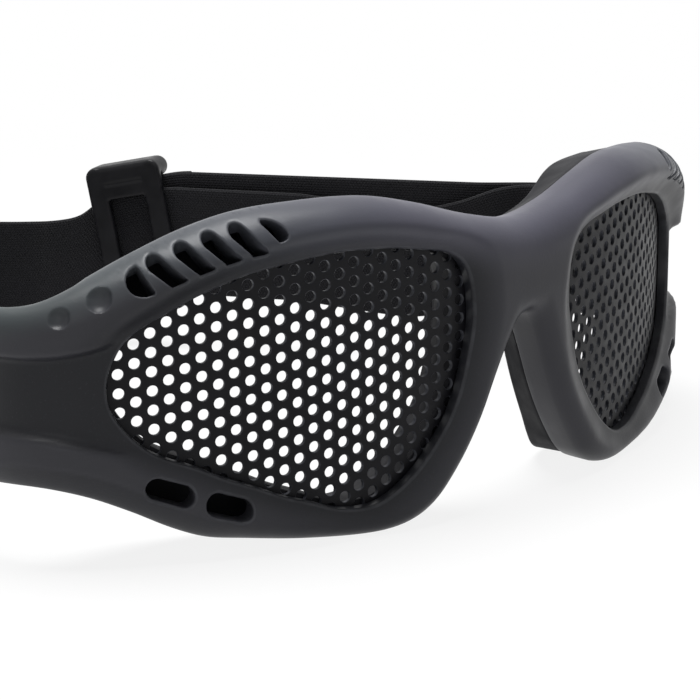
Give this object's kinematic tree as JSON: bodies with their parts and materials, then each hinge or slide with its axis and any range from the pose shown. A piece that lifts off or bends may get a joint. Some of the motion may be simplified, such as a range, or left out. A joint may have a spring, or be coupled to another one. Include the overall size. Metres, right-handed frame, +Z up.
{
  "type": "mesh safety goggles",
  "caption": "Wrap-around mesh shooting goggles: moulded rubber front, curved perforated steel lenses, a backing frame that seals on the face and an elastic strap with a sliding adjuster.",
  "frame": {"origin": "on the face between the eyes, 16 mm behind the middle of the lens surface, where the wearer's face carries the goggles", "axes": "-Y out of the front, +Z up, +X to the wearer's left"},
  "size_m": [0.1874, 0.1918, 0.0598],
  "materials": {
    "shell_rubber": "satin thermoplastic rubber, charcoal",
    "backing_rubber": "matte soft rubber, near black",
    "lens_steel": "black painted punched steel sheet",
    "webbing": "woven elastic webbing, black",
    "slider_plastic": "matte moulded plastic, dark grey",
    "thread": "black sewing thread"
  },
  "bodies": {
    "goggles": {"front_shell": "shell_rubber", "lens_mesh_right": "lens_steel", "lens_mesh_left": "lens_steel", "backing_frame": "backing_rubber", "strap_band": "webbing", "strap_tail": "webbing", "anchor_stitches": "thread"},
    "adjuster": {"slider": "slider_plastic", "slider_pin": "slider_plastic", "strap_tail_loop": "webbing", "tail_stitches": "thread"}
  },
  "joints": [
    {"name": "adjuster_slide", "type": "slide", "parent": "goggles", "child": "adjuster", "axis": [0.4818, -0.8763, 0], "range_m": [0, 0.052], "deforming": ["strap_tail"]}
  ]
}
